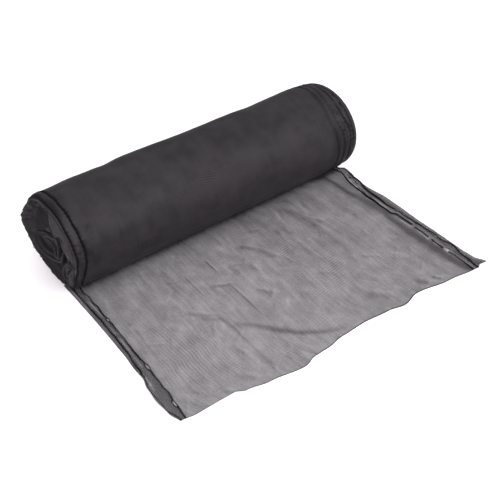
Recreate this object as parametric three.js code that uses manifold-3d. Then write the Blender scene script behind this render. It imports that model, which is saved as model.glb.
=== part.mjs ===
// Roll of fine dark netting about 1 m wide, hemmed along both edges, with its loose end laid on the floor.
// Millimetres, +Z up. The roll lies along X and the loose end runs out along -Y.
// The origin is the middle of the flat spot on which the roll rests.
import * as THREE from 'three'
import Module from 'manifold-3d'

// Driving dimensions
const rollRadius = 145
const flatDepth = 3 // how far its own weight flattens the underside
const netWidth = 1000
const clothThickness = 1.6
const hemThickness = 3.2 // the net folded on itself
const hemWidth = 27
const hemStitchInset = 12 // outer line of stitches, from the edge
const hemFall = 6 // width over which the hem steps down to single cloth
const pieceGap = 0.3

const axisHeight = rollRadius - flatDepth
const sidesAround = 64
const degree = Math.PI / 180

// Roll from its left end to its right: place along X, how far the ring lies inside the roll's radius, how
// far it leans along X from back to front, and how much it takes of the ragged rim of the inner turns.
const rollRings = [
  { x: -458, drop: 91, lean: 0, ragged: 0 }, // floor of the left hollow
  { x: -460, drop: 36, lean: 0, ragged: 0 },
  { x: -480, drop: 29, lean: 0, ragged: 0.5 },
  { x: -495, drop: 27, lean: 0, ragged: 1 }, // inner turns, standing out of the left end
  { x: -500, drop: 22, lean: 0, ragged: 1 },
  { x: -497, drop: 16, lean: 1, ragged: 1 },
  { x: -489, drop: 13, lean: 3, ragged: 0.4 },
  { x: -486, drop: 12.5, lean: 6, ragged: 0 },
  { x: -490, drop: 6, lean: 6, ragged: 0 }, // outer turn, at its outer line of stitches
  { x: -486, drop: 2, lean: 6, ragged: 0 },
  { x: -469, drop: 1, lean: 5, ragged: 0 },
  { x: -460, drop: 5, lean: 5, ragged: 0 }, // inner line of stitches
  { x: -448, drop: 2.5, lean: 4, ragged: 0 },
  { x: -420, drop: 0, lean: 2, ragged: 0 },
  { x: -390, drop: 0, lean: 0, ragged: 0 },
  { x: -300, drop: 0, lean: 0, ragged: 0 },
  { x: -200, drop: 0, lean: 0, ragged: 0 },
  { x: -100, drop: 0, lean: 0, ragged: 0 },
  { x: 0, drop: 0, lean: 0, ragged: 0 },
  { x: 100, drop: 0, lean: 0, ragged: 0 },
  { x: 200, drop: 0, lean: 0, ragged: 0 },
  { x: 280, drop: 0, lean: 0, ragged: 0 },
  { x: 350, drop: 0, lean: 0, ragged: 0 },
  { x: 411, drop: -0.5, lean: 2, ragged: 0 },
  { x: 420, drop: 2, lean: 2, ragged: 0 }, // hem of the turn below, felt through the outer turn
  { x: 429, drop: -0.5, lean: 3, ragged: 0 },
  { x: 440, drop: 0, lean: 3, ragged: 0 },
  { x: 447, drop: 3, lean: 4, ragged: 0 },
  { x: 455, drop: 1.5, lean: 6, ragged: 0 },
  { x: 464, drop: 3, lean: 11, ragged: 0 },
  { x: 471, drop: 5.5, lean: 12, ragged: 0 }, // inner line of stitches of the outer turn's hem
  { x: 478, drop: 5, lean: 14, ragged: 0 },
  { x: 487, drop: 7.5, lean: 17, ragged: 0 }, // right rim
  { x: 489, drop: 13, lean: 17, ragged: 0 },
  { x: 485, drop: 18, lean: 17, ragged: 0 },
  { x: 446, drop: 21, lean: 4, ragged: 0 },
  { x: 446, drop: 85, lean: 0, ragged: 0 }, // floor of the right hollow
]
const leanAngle = 15 * degree
const leftFloor = rollRings[0].x
const rightFloor = rollRings[rollRings.length - 1].x

// How far the rim of the inner turns stands out at the left end, by angle from the front over the top.
const raggedRim = [
  { angle: 0, out: -5 },
  { angle: 8, out: -5 },
  { angle: 30, out: 2 },
  { angle: 42, out: -4 },
  { angle: 56, out: 10 },
  { angle: 64, out: 9 },
  { angle: 86, out: -6 },
  { angle: 102, out: -5 },
  { angle: 118, out: -1 },
  { angle: 135, out: 8 },
  { angle: 168, out: 17 },
  { angle: 184, out: 17 },
  { angle: 217, out: 10 },
  { angle: 255, out: -1 },
  { angle: 290, out: -5 },
  { angle: 344, out: 8 },
  { angle: 360, out: -5 },
]

// Soft dents of the wound cloth, bulges as negative depths: middle, length along X and spread round it.
const dents = [
  { x: -455, angle: 118, depth: 3.5, length: 34, spread: 40 },
  { x: -390, angle: 108, depth: -2, length: 46, spread: 36 },
  { x: -292, angle: 115, depth: 3, length: 30, spread: 34 },
  { x: -180, angle: 48, depth: -1.8, length: 110, spread: 38 },
  { x: -60, angle: 112, depth: 2, length: 120, spread: 40 },
  { x: 60, angle: 30, depth: 1.6, length: 80, spread: 30 },
  { x: 262, angle: 112, depth: 3, length: 46, spread: 36 },
  { x: 330, angle: 30, depth: -1.5, length: 70, spread: 36 },
  { x: 400, angle: 112, depth: -2.5, length: 50, spread: 40 },
  { x: 60, angle: 200, depth: 2.2, length: 150, spread: 40 },
  { x: -260, angle: 190, depth: -1.8, length: 120, spread: 40 },
]

// Slack innermost turns in the left hollow, as a strip of cloth that collapses inwards from the front wall:
// points that it passes in Y and Z, and where its free edge lies along X.
const leftCurl = [
  { y: -121, z: 141, edge: -486 },
  { y: -106, z: 132, edge: -495 },
  { y: -86, z: 114, edge: -500 },
  { y: -58, z: 99, edge: -502 },
  { y: -26, z: 86, edge: -503 },
  { y: 26, z: 67, edge: -506 },
  { y: 70, z: 68, edge: -510 },
  { y: 96, z: 82, edge: -514 },
  { y: 105, z: 97, edge: -515 },
  { y: 98, z: 114, edge: -513 },
  { y: 48, z: 152, edge: -508 },
  { y: -18, z: 190, edge: -506 },
  { y: -58, z: 196, edge: -504 },
  { y: -76, z: 176, edge: -503 },
  { y: -74, z: 150, edge: -503 },
  { y: -52, z: 128, edge: -502 },
  { y: -8, z: 106, edge: -501 },
  { y: 43, z: 88, edge: -503 },
  { y: 74, z: 86, edge: -505 },
  { y: 80, z: 99, edge: -505 },
  { y: 56, z: 126, edge: -505 },
  { y: -4, z: 155, edge: -503 },
  { y: -36, z: 158, edge: -502 },
  { y: -46, z: 144, edge: -501 },
  { y: -24, z: 128, edge: -500 },
  { y: 20, z: 113, edge: -500 },
  { y: 48, z: 106, edge: -500 },
]

// A small fold that bulges from the same wall, low at the front.
const leftFold = [
  { y: -122, z: 116, edge: -488 },
  { y: -104, z: 112, edge: -498 },
  { y: -88, z: 96, edge: -504 },
  { y: -82, z: 76, edge: -505 },
  { y: -90, z: 61, edge: -503 },
  { y: -102, z: 66, edge: -500 },
  { y: -105, z: 82, edge: -499 },
]

// Turns that show in the right end: turns wound inwards, their radius, the place of their middle from the
// roll's axis, and where their edges lie along X.
const rightTurns = [
  { turn: 0, radius: 124, back: 0, up: 0, edge: 470 },
  { turn: 0.8, radius: 100, back: 2, up: -6, edge: 474 },
  { turn: 1.7, radius: 74, back: 5, up: -12, edge: 467 },
  { turn: 2.6, radius: 46, back: 6, up: -14, edge: 472 },
  { turn: 3.5, radius: 14, back: 6, up: -14, edge: 466 },
]
const turnStart = 15 * degree
const turnThickness = 7
const turnSteps = 24
const turnRoot = 14 // how deep the turns reach into the roll behind the hollow
const curlStep = 9 // from one row of points of a curled strip to the next

// Side edges of the loose end: reach from the roll's axis, place of each edge along X, and its lift.
const sideEdges = [
  { reach: 40, left: -491, right: 499, leftLift: 0, rightLift: 0 },
  { reach: 100, left: -488, right: 500, leftLift: 0, rightLift: 9 },
  { reach: 200, left: -486, right: 506, leftLift: 1, rightLift: 7 },
  { reach: 300, left: -485, right: 517, leftLift: 1, rightLift: 8 },
  { reach: 400, left: -487, right: 526, leftLift: 0, rightLift: 7 },
  { reach: 460, left: -487, right: 530, leftLift: 2, rightLift: 8 },
  { reach: 500, left: -496, right: 533, leftLift: 5, rightLift: 9 },
  { reach: 545, left: -500, right: 536, leftLift: 6, rightLift: 8 },
  { reach: 595, left: -494, right: 539, leftLift: 3, rightLift: 7 },
  { reach: 640, left: -480, right: 545, leftLift: 0, rightLift: 5 },
  { reach: 680, left: -480, right: 560, leftLift: 0, rightLift: 2 },
]
const liftWidth = 42 // width over which a lifted edge comes down to the floor

// Cut end of the loose end: place across the cloth from its left edge, and reach from the roll's axis.
const cutEnd = [
  { across: 0, reach: 631 },
  { across: 45, reach: 637 },
  { across: 155, reach: 637 },
  { across: 185, reach: 650 },
  { across: 245, reach: 662 },
  { across: 345, reach: 676 },
  { across: 392, reach: 663 },
  { across: 432, reach: 661 },
  { across: 500, reach: 651 },
  { across: 575, reach: 648 },
  { across: 655, reach: 655 },
  { across: 700, reach: 665 },
  { across: 770, reach: 650 },
  { across: 865, reach: 667 },
  { across: 945, reach: 676 },
  { across: 968, reach: 664 },
  { across: 985, reach: 668 },
  { across: 1000, reach: 684 },
]

// Folds of the loose end, each a soft ridge along a line: its ends in X and reach, height and half width.
const folds = [
  { x1: -104, reach1: 120, x2: -104, reach2: 480, height: 3.5, half: 11 },
  { x1: -198, reach1: 150, x2: -194, reach2: 655, height: 3.5, half: 11 },
  { x1: 218, reach1: 130, x2: 266, reach2: 400, height: 3.5, half: 16 },
  { x1: -150, reach1: 445, x2: -85, reach2: 520, height: 8, half: 24 },
  { x1: -85, reach1: 520, x2: 70, reach2: 600, height: 10, half: 26 },
  { x1: 455, reach1: 110, x2: 462, reach2: 330, height: 6, half: 20 },
  { x1: 20, reach1: 190, x2: 80, reach2: 320, height: 4, half: 24 },
  { x1: 150, reach1: 545, x2: 250, reach2: 605, height: 6, half: 22 },
  { x1: 300, reach1: 575, x2: 375, reach2: 630, height: 6, half: 20 },
  { x1: -330, reach1: 170, x2: -322, reach2: 420, height: 3, half: 26 },
  { x1: -300, reach1: 560, x2: -240, reach2: 630, height: 5, half: 22 },
]
const foldEnd = 0.35 // share of a fold's height left at its two ends
const foldRun = 0.3 // share of a fold's length over which it rises from each end
const liftRun = 45 // reach beyond the roll over which lifts and folds begin
const foldColumns = [288, 386, 727, 944] // places across the cloth of the folds along it
const foldColumnStep = 11
const widestColumn = 36
const rowsAlong = 27

const wasm = await Module()
wasm.setup()

function ease(t) {
  const s = THREE.MathUtils.clamp(t, 0, 1)
  return s * s * (3 - 2 * s)
}

// Value of one column of a table at a place given in another column, eased from row to row.
function readTable(rows, key, column, at) {
  const next = rows.findIndex((row) => row[key] > at)
  if (next === 0) return rows[0][column]
  if (next < 0) return rows[rows.length - 1][column]
  const [a, b] = [rows[next - 1], rows[next]]
  const t = ease((at - a[key]) / (b[key] - a[key]))
  return a[column] + (b[column] - a[column]) * t
}

function indexedGeometry(points, triangles) {
  const geometry = new THREE.BufferGeometry().setFromPoints(points)
  geometry.setIndex(triangles)
  return geometry
}

// Closed skin over rings from left to right, with a middle point at each end.
function skinOverRings(rings, leftMiddle, rightMiddle) {
  const around = rings[0].length
  const points = [...rings.flat(), leftMiddle, rightMiddle]
  const left = points.length - 2
  const right = points.length - 1
  const lastRing = (rings.length - 1) * around
  const triangles = []
  for (let j = 0; j < around; j++) {
    const k = (j + 1) % around
    triangles.push(left, j, k, right, lastRing + k, lastRing + j)
    for (let i = 0; i < rings.length - 1; i++) {
      const a = i * around
      const b = a + around
      triangles.push(a + j, b + j, b + k, a + j, b + k, a + k)
    }
  }
  return indexedGeometry(points, triangles)
}

// Closed strip of cloth from rows of points, each with its upper and its under face.
function skinOverStrip(rows) {
  const count = rows[0].upper.length
  const points = rows.flatMap((row) => [...row.upper, ...[...row.under].reverse()])
  const loop = 2 * count
  const last = (rows.length - 1) * loop
  const triangles = []
  for (let i = 0; i < rows.length - 1; i++) {
    for (let j = 0; j < loop; j++) {
      const k = (j + 1) % loop
      const [a, b] = [i * loop, (i + 1) * loop]
      triangles.push(a + j, b + j, b + k, a + j, b + k, a + k)
    }
  }
  for (let j = 0; j < count - 1; j++) {
    const k = loop - 1 - j
    triangles.push(j, j + 1, k - 1, j, k - 1, k)
    triangles.push(last + j, last + k - 1, last + j + 1, last + j, last + k, last + k - 1)
  }
  return indexedGeometry(points, triangles)
}

function toSolid(geometry) {
  const vertProperties = geometry.attributes.position.array
  const triVerts = new Uint32Array(geometry.index.array)
  return new wasm.Manifold(new wasm.Mesh({ numProp: 3, vertProperties, triVerts }))
}

function toGeometry(solid) {
  const { vertProperties, triVerts } = solid.getMesh()
  const geometry = new THREE.BufferGeometry()
  geometry.setAttribute('position', new THREE.BufferAttribute(vertProperties, 3))
  geometry.setIndex(new THREE.BufferAttribute(triVerts, 1))
  geometry.computeVertexNormals()
  return geometry
}

// Point of the roll at an angle from the front over the top, no lower than the floor.
function rollPoint(x, radius, angle) {
  const y = -radius * Math.cos(angle)
  const z = axisHeight + radius * Math.sin(angle)
  return new THREE.Vector3(x, y, Math.max(z, 0))
}

function dentAt(x, angle) {
  let depth = 0
  for (const dent of dents) {
    const turned = THREE.MathUtils.euclideanModulo(angle / degree - dent.angle + 180, 360) - 180
    const along = (x - dent.x) / dent.length
    const around = turned / dent.spread
    depth += dent.depth * Math.exp(-along * along - around * around)
  }
  return depth
}

function rollRing(ring) {
  const points = []
  for (let j = 0; j < sidesAround; j++) {
    const angle = (j / sidesAround) * 2 * Math.PI
    const out = readTable(raggedRim, 'angle', 'out', angle / degree)
    const x = ring.x + ring.lean * Math.cos(angle - leanAngle) - ring.ragged * out
    points.push(rollPoint(x, rollRadius - ring.drop - dentAt(ring.x, angle), angle))
  }
  return points
}

function rollBody() {
  const leftMiddle = new THREE.Vector3(leftFloor, 0, axisHeight)
  const rightMiddle = new THREE.Vector3(rightFloor, 0, axisHeight)
  return toSolid(skinOverRings(rollRings.map(rollRing), leftMiddle, rightMiddle))
}

// Strip of cloth that stands up from the floor of the left hollow along a run of points.
function curledStrip(points) {
  const passed = points.map((point) => new THREE.Vector3(point.edge, point.y, point.z))
  const run = new THREE.CatmullRomCurve3(passed)
  const steps = Math.round(run.getLength() / curlStep)
  const places = run.getSpacedPoints(steps)
  const rows = places.map((place, i) => {
    const before = places[Math.max(i - 1, 0)]
    const after = places[Math.min(i + 1, steps)]
    const across = new THREE.Vector3(0, before.z - after.z, after.y - before.y).setLength(turnThickness / 2)
    const root = place.clone().setX(leftFloor + turnRoot)
    const upper = [root.clone().add(across), place.clone().add(across)]
    const under = [root.clone().sub(across), place.clone().sub(across)]
    return { upper, under }
  })
  return toSolid(skinOverStrip(rows))
}

// Turns of cloth wound inwards in the right end of the roll, standing up from the floor of its hollow.
function rightSpiral() {
  const turns = rightTurns[rightTurns.length - 1].turn
  const steps = Math.round(turns * turnSteps)
  const rows = []
  for (let i = 0; i <= steps; i++) {
    const turn = (i / steps) * turns
    const angle = turnStart - turn * 2 * Math.PI
    const radius = readTable(rightTurns, 'turn', 'radius', turn)
    const back = readTable(rightTurns, 'turn', 'back', turn)
    const up = readTable(rightTurns, 'turn', 'up', turn)
    const edge = readTable(rightTurns, 'turn', 'edge', turn)
    const side = (x, r) => rollPoint(x, r, angle).add(new THREE.Vector3(0, back, up))
    const root = rightFloor - turnRoot
    const upper = [side(root, radius + turnThickness / 2), side(edge, radius + turnThickness / 2)]
    const under = [side(root, radius - turnThickness / 2), side(edge, radius - turnThickness / 2)]
    rows.push({ upper, under })
  }
  return toSolid(skinOverStrip(rows))
}

// Places across the cloth of its columns: close at the hems and at the folds along it, even between.
function clothColumns() {
  const hem = [0, hemStitchInset, hemWidth, hemWidth + hemFall]
  const fixed = [...hem, ...hem.map((place) => netWidth - place)]
  for (const fold of foldColumns) fixed.push(fold - foldColumnStep, fold, fold + foldColumnStep)
  fixed.sort((a, b) => a - b)
  const places = [fixed[0]]
  for (let i = 1; i < fixed.length; i++) {
    const wide = fixed[i] - fixed[i - 1]
    const parts = Math.ceil(wide / widestColumn)
    for (let k = 1; k <= parts; k++) places.push(fixed[i - 1] + (wide * k) / parts)
  }
  return places
}

function thicknessAt(across) {
  const fromEdge = Math.min(across, netWidth - across)
  const single = ease((fromEdge - hemWidth) / hemFall)
  return hemThickness + (clothThickness - hemThickness) * single
}

// Reach at which cloth of a given thickness comes out from under the roll, clear of it by the usual gap.
function startReach(thickness) {
  const clear = axisHeight - thickness - pieceGap
  return Math.sqrt(rollRadius * rollRadius - clear * clear)
}

function foldHeight(x, reach) {
  let height = 0
  for (const fold of folds) {
    const from = new THREE.Vector3(fold.x1, fold.reach1)
    const to = new THREE.Vector3(fold.x2, fold.reach2)
    const line = new THREE.Line3(from, to)
    const place = new THREE.Vector3(x, reach)
    const along = line.closestPointToPointParameter(place, true)
    const away = line.at(along, new THREE.Vector3()).distanceTo(place) / fold.half
    const fromEnd = Math.min(along, 1 - along)
    height += fold.height * Math.exp(-away * away) * ease(foldEnd + fromEnd / foldRun)
  }
  return height
}

function clothPoint(across, row) {
  const thickness = thicknessAt(across)
  const from = startReach(thickness)
  const to = readTable(cutEnd, 'across', 'reach', across)
  const reach = from + (to - from) * row
  const side = (column) => readTable(sideEdges, 'reach', column, reach)
  const x = side('left') + (side('right') - side('left')) * (across / netWidth)
  const leftLift = side('leftLift') * ease(1 - across / liftWidth)
  const rightLift = side('rightLift') * ease(1 - (netWidth - across) / liftWidth)
  const height = (leftLift + rightLift + foldHeight(x, reach)) * ease((reach - from) / liftRun)
  const under = new THREE.Vector3(x, -reach, height)
  const upper = new THREE.Vector3(x, -reach, height + thickness)
  return { under, upper }
}

function looseCloth() {
  const places = clothColumns()
  const rows = []
  for (let i = 0; i <= rowsAlong; i++) {
    const points = places.map((across) => clothPoint(across, i / rowsAlong))
    rows.push({ upper: points.map((p) => p.upper), under: points.map((p) => p.under) })
  }
  return toSolid(skinOverStrip(rows))
}

const woundNet = new THREE.MeshStandardMaterial({ color: '#434044', roughness: 0.85, metalness: 0 })
const singleNet = new THREE.MeshStandardMaterial({ color: '#8d8a8d', roughness: 0.9, metalness: 0 })

const roll = rollBody().add(curledStrip(leftCurl)).add(curledStrip(leftFold)).add(rightSpiral())

const rollMesh = new THREE.Mesh(toGeometry(roll), woundNet)
rollMesh.name = 'netting_roll'
const looseMesh = new THREE.Mesh(toGeometry(looseCloth()), singleNet)
looseMesh.name = 'loose_end'

const nettingRoll = new THREE.Group()
nettingRoll.add(rollMesh, looseMesh)

export default nettingRoll
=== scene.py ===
# Roll of fine dark netting with stitched hems, its loose end laid out in front of it.
# Tables are in millimetres, in the part's own frame: the roll lies along X and the loose end runs out
# along -Y. "reach" is how far a place lies in front of the roll's axis, and an angle on the roll is
# counted from the front over the top. Meshes are turned to metres once, in addMesh.
import math

import bpy
import numpy as np
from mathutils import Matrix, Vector


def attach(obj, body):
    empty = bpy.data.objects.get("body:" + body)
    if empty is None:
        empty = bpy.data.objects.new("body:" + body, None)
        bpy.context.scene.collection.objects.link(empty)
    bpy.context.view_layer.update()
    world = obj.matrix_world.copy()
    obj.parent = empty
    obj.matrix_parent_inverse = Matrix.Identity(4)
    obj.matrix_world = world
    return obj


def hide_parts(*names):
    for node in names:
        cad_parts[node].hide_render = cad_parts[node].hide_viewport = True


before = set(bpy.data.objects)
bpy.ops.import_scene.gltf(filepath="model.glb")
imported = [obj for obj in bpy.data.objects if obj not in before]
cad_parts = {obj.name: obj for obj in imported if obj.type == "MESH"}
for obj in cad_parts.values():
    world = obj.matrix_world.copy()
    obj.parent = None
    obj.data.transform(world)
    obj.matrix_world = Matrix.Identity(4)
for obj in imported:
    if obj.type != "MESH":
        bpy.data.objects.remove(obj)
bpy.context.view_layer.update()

millimetre = 0.001
fullTurn = 2 * math.pi
upward = np.array([0.0, 0.0, 1.0])


def table(columns, *rows):
    return {name: np.array(values, float) for name, values in zip(columns.split(), zip(*rows))}


# rows of a table one by one, each with its columns by name
def eachRow(rows):
    for values in zip(*rows.values()):
        yield dict(zip(rows, values))


def ease(t):
    t = np.clip(t, 0, 1)
    return t * t * (3 - 2 * t)


# value of one column at places given in another column, eased from row to row
def readTable(rows, key, column, at):
    place, value = rows[key], rows[column]
    at = np.asarray(at, float)
    i = np.clip(np.searchsorted(place, at, side="right") - 1, 0, len(place) - 2)
    t = ease((at - place[i]) / (place[i + 1] - place[i]))
    return value[i] * (1 - t) + value[i + 1] * t


# soft unevenness about zero: a few waves whose directions and starts come from the seed
def unevenness(seed, *places, waves=9):
    dice = np.random.default_rng(seed)
    total = 0
    for _ in range(waves):
        way = dice.normal(size=len(places))
        total += np.sin(sum(w * p for w, p in zip(way, places)) + dice.uniform(0, fullTurn))
    return total / math.sqrt(waves / 2)


def unit(vectors):
    return vectors / np.maximum(np.linalg.norm(vectors, axis=-1, keepdims=True), 1e-9)


# distance of each point of a run from its start, along the run
def lengthAlong(points):
    return np.concatenate([[0], np.cumsum(np.linalg.norm(np.diff(points, axis=0), axis=1))])


# rounded run from b to c, which a comes before and d comes after
def rounded(a, b, c, d, t):
    bend = (2 * a - 5 * b + 4 * c - d) * t ** 2 + (3 * b - a - 3 * c + d) * t ** 3
    return b + 0.5 * ((c - a) * t + bend)


def addMesh(name, points, faces, uv=None):
    mesh = bpy.data.meshes.new(name)
    mesh.from_pydata((np.asarray(points) * millimetre).tolist(), [], [list(map(int, f)) for f in faces])
    mesh.polygons.foreach_set("use_smooth", [True] * len(mesh.polygons))
    if uv is not None:
        layer = mesh.uv_layers.new(name="cloth")
        layer.uv.foreach_set("vector", (np.asarray(uv) * millimetre).ravel())
    mesh.validate()
    mesh.update()
    piece = bpy.data.objects.new(name, mesh)
    bpy.context.scene.collection.objects.link(piece)
    return piece


# a number at each point of a piece, for its material to read
def addNumbers(piece, name, values):
    piece.data.attributes.new(name, "FLOAT", "POINT").data.foreach_set("value", np.ravel(values))


# quads over a grid of points; "closed" joins the last column to the first
def gridFaces(rows, columns, closed=False):
    i, j = np.meshgrid(np.arange(rows - 1), np.arange(columns - (not closed)), indexing="ij")
    k = (j + 1) % columns
    here, there = i * columns, (i + 1) * columns
    return np.stack([here + k, here + j, there + j, there + k], -1).reshape(-1, 4)


# faces of a tube of rings, with a cap at both ends
def tubeFaces(rings, around):
    faces = [list(f) for f in gridFaces(rings, around, closed=True)]
    last = (rings - 1) * around
    return faces + [list(range(around)), list(range(last + around - 1, last - 1, -1))]


# flat cloth coordinates of every face corner, unbroken where a closed grid joins up
def gridUv(u, v):
    now, after = slice(None, -1), slice(1, None)
    corners = [(now, after), (now, now), (after, now), (after, after)]
    return np.stack([np.stack([u[c], v[c]], -1) for c in corners], -2).reshape(-1, 2)


# the same for a tube, whose caps have none of their own
def tubeUv(u, v, around):
    return np.concatenate([gridUv(u, v), np.zeros((2 * around, 2))])


# round strand along a path on cloth that faces outward
def strand(path, outward, radius, sides=6):
    along = unit(np.gradient(path, axis=0))
    side = unit(np.cross(along, outward))
    up = np.cross(side, along)
    turn = (np.arange(sides) / sides * fullTurn)[None, :, None]
    points = path[:, None] + radius * (np.cos(turn) * up[:, None] - np.sin(turn) * side[:, None])
    return points.reshape(-1, 3), tubeFaces(len(path), sides)


def joined(parts):
    points, faces, start = [], [], 0
    for p, f in parts:
        points.append(p)
        faces += [[start + k for k in face] for face in f]
        start += len(p)
    return np.concatenate(points), faces


# Materials

def toLinear(hexColour):
    parts = [int(hexColour[i:i + 2], 16) / 255 for i in (1, 3, 5)]
    return (*[p / 12.92 if p <= 0.04045 else ((p + 0.055) / 1.055) ** 2.4 for p in parts], 1.0)


# a node among the inputs is linked by its first output
def addNode(tree, kind, inputs=None, **settings):
    node = tree.nodes.new(kind)
    for key, value in settings.items():
        setattr(node, key, value)
    for key, value in (inputs or {}).items():
        if isinstance(value, bpy.types.Node):
            value = value.outputs[0]
        if isinstance(value, bpy.types.NodeSocket):
            tree.links.new(value, node.inputs[key])
        else:
            node.inputs[key].default_value = value
    return node


def newMaterial(name, surface):
    material = bpy.data.materials.new(name)
    material.use_nodes = True
    tree = material.node_tree
    tree.nodes.clear()
    addNode(tree, "ShaderNodeOutputMaterial", {"Surface": surface(tree)})
    return material


# a wave texture's bands lie 2 pi / 20 of its own unit apart, so this gives the scale for a spacing in mm
def bandScale(spacing):
    return fullTurn / 20 / (spacing * millimetre)


# what both looks of the net share: its mesh of threads, their relief, and the sum of what makes it uneven,
# which is the beat of the mesh against itself in patches, the runs along its length and its mottling
def netPattern(tree, look):
    place = addNode(tree, "ShaderNodeUVMap", uv_map="cloth")
    waves = {}
    for name, turn in (("mesh", 0.0), ("beat", look["beatTurn"])):
        turned = addNode(tree, "ShaderNodeMapping", {"Vector": place, "Rotation": (0, 0, turn)})
        for way in "XY":
            waves[name + way] = addNode(tree, "ShaderNodeTexWave", {
                "Vector": turned, "Scale": bandScale(look[name]), "Distortion": 1.5, "Detail": 1.0,
                "Detail Scale": 0.4}, bands_direction=way).outputs["Fac"]
    threads = addNode(tree, "ShaderNodeMath", {0: waves["meshX"], 1: waves["meshY"]}, operation="MAXIMUM")
    relief = addNode(tree, "ShaderNodeBump", {
        "Height": threads, "Strength": 0.5, "Distance": 0.4 * millimetre})
    terms = []
    for way, depth in zip("XY", look["beatDepth"]):
        swing = addNode(tree, "ShaderNodeMapRange", {
            "Value": waves["beat" + way], "To Min": -depth, "To Max": depth})
        patch = addNode(tree, "ShaderNodeAttribute", attribute_name="beat" + way).outputs["Fac"]
        terms.append(addNode(tree, "ShaderNodeMath", {0: swing, 1: patch}, operation="MULTIPLY"))
    for width, length, depth, detail in look["unevenness"]:
        size = (1 / (width * millimetre), 1 / (length * millimetre), 1)
        spread = addNode(tree, "ShaderNodeMapping", {"Vector": place, "Scale": size})
        noise = addNode(tree, "ShaderNodeTexNoise", {"Vector": spread, "Scale": 1.0, "Detail": detail})
        # most of a noise lies between 0.3 and 0.7
        terms.append(addNode(tree, "ShaderNodeMapRange", {
            "Value": noise.outputs["Fac"], "From Min": 0.3, "From Max": 0.7, "To Min": -depth,
            "To Max": depth}, clamp=False))
    total = terms[0]
    for term in terms[1:]:
        total = addNode(tree, "ShaderNodeMath", {0: total, 1: term}, operation="ADD")
    return threads, relief, total


singleLook = {
    "thread": "#2d292d",
    "mesh": 4.0,          # the real mesh is about 2 mm; drawn twice as coarse so that a close view shows it
    "thinnest": 0.385,    # share of the surface that threads cover in the middle of a mesh and on a thread
    "thickest": 0.615,
    "beat": 8.5,
    "beatTurn": 0.12,
    "beatDepth": (0.055, 0.06),   # of its lines along the length and across it
    # runs, mottling and single slack stitches: width and length in mm, share, detail
    "unevenness": (
        (8, 120, 0.030, 1.0), (26, 44, 0.036, 2.0), (110, 140, 0.03, 2.0), (5, 7, 0.016, 0.0),
    ),
}


# Knitted high-density polyethylene yarn, one layer: fine dark threads with the floor between them,
# so the eye sees an even grey with faint runs along the length and patches where the mesh beats.
def knittedNet(tree):
    look = singleLook
    threads, relief, uneven = netPattern(tree, look)
    cover = addNode(tree, "ShaderNodeMapRange", {
        "Value": threads, "To Min": look["thinnest"], "To Max": look["thickest"]})
    cover = addNode(tree, "ShaderNodeMath", {0: cover, 1: uneven}, operation="ADD")
    # how much closer the threads lie where the cloth is creased or turned over, with painted shade along
    # creases, wrinkles and troughs and where the cloth leaves the roll, and painted light beside creases
    gather = addNode(tree, "ShaderNodeAttribute", attribute_name="gather").outputs["Fac"]
    cover = addNode(tree, "ShaderNodeMath", {0: cover, 1: gather}, operation="ADD", use_clamp=True)
    return addNode(tree, "ShaderNodeBsdfPrincipled", {
        "Base Color": toLinear(look["thread"]), "Roughness": 0.55, "IOR": 1.51, "Specular IOR Level": 0.4,
        "Alpha": cover, "Normal": relief})


woundLook = {
    "thread": "#2d2a2d",
    "between": "#181618",
    "shine": 0.08,
    "roughness": (0.42, 0.95),   # of slack and of gathered cloth
    "mesh": 4.0,                 # as coarse as on the single cloth
    "beat": 7.0,
    "beatTurn": 0.2,
    "beatDepth": (0.1, 0.45),
    "unevenness": ((9, 150, 0.07, 1.0), (45, 45, 0.22, 2.0), (150, 150, 0.2, 2.0)),
}


# The same net many layers deep: the gaps show only more net, so it reads as a charcoal cloth with the soft
# shine of the yarn and faint bands where two layers of mesh beat against each other.
def woundNet(tree):
    look = woundLook
    threads, relief, uneven = netPattern(tree, look)
    tone = addNode(tree, "ShaderNodeMath", {0: threads, 1: uneven}, operation="ADD")
    # painted shade: gathered places, such as the sewn rows, the left hollow and the curls, are darkened in
    # colour; negative values paint light
    gather = addNode(tree, "ShaderNodeAttribute", attribute_name="gather").outputs["Fac"]
    tone = addNode(tree, "ShaderNodeMath", {0: tone, 1: gather}, operation="SUBTRACT", use_clamp=True)
    colour = addNode(tree, "ShaderNodeMix", {
        "Factor": tone, "A": toLinear(look["between"]), "B": toLinear(look["thread"])}, data_type="RGBA")
    slack, gathered = look["roughness"]
    rough = addNode(tree, "ShaderNodeMapRange", {"Value": gather, "To Min": slack, "To Max": gathered})
    return addNode(tree, "ShaderNodeBsdfPrincipled", {
        "Base Color": colour.outputs["Result"], "Roughness": rough, "IOR": 1.51,
        "Specular IOR Level": look["shine"], "Normal": relief})


threadLook = {
    "ply": "#0f0e0f",
    "between": "#060606",
    "plies": 1.5,         # real plies lie about 0.4 mm apart; drawn coarser so that a close view shows them
}


# Spun polyester sewing thread: near black, dull, with the lay of its plies.
def sewingThread(tree):
    look = threadLook
    place = addNode(tree, "ShaderNodeTexCoord").outputs["Object"]
    plies = addNode(tree, "ShaderNodeTexWave", {
        "Vector": place, "Scale": bandScale(look["plies"]), "Distortion": 1.0},
        bands_direction="DIAGONAL").outputs["Fac"]
    colour = addNode(tree, "ShaderNodeMix", {
        "Factor": plies, "A": toLinear(look["between"]), "B": toLinear(look["ply"])}, data_type="RGBA")
    relief = addNode(tree, "ShaderNodeBump", {
        "Height": plies, "Strength": 0.5, "Distance": 0.2 * millimetre})
    return addNode(tree, "ShaderNodeBsdfPrincipled", {
        "Base Color": colour.outputs["Result"], "Roughness": 0.8, "IOR": 1.54, "Specular IOR Level": 0.1,
        "Normal": relief})


netMaterial = newMaterial("knitted_polyethylene_net", knittedNet)
woundMaterial = newMaterial("wound_polyethylene_net", woundNet)
threadMaterial = newMaterial("spun_polyester_thread", sewingThread)
print("materials made")


def dress(piece, material, node):
    piece.data.materials.append(material)
    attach(piece, "root")
    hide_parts(node)
    return piece


# Stitches

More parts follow.
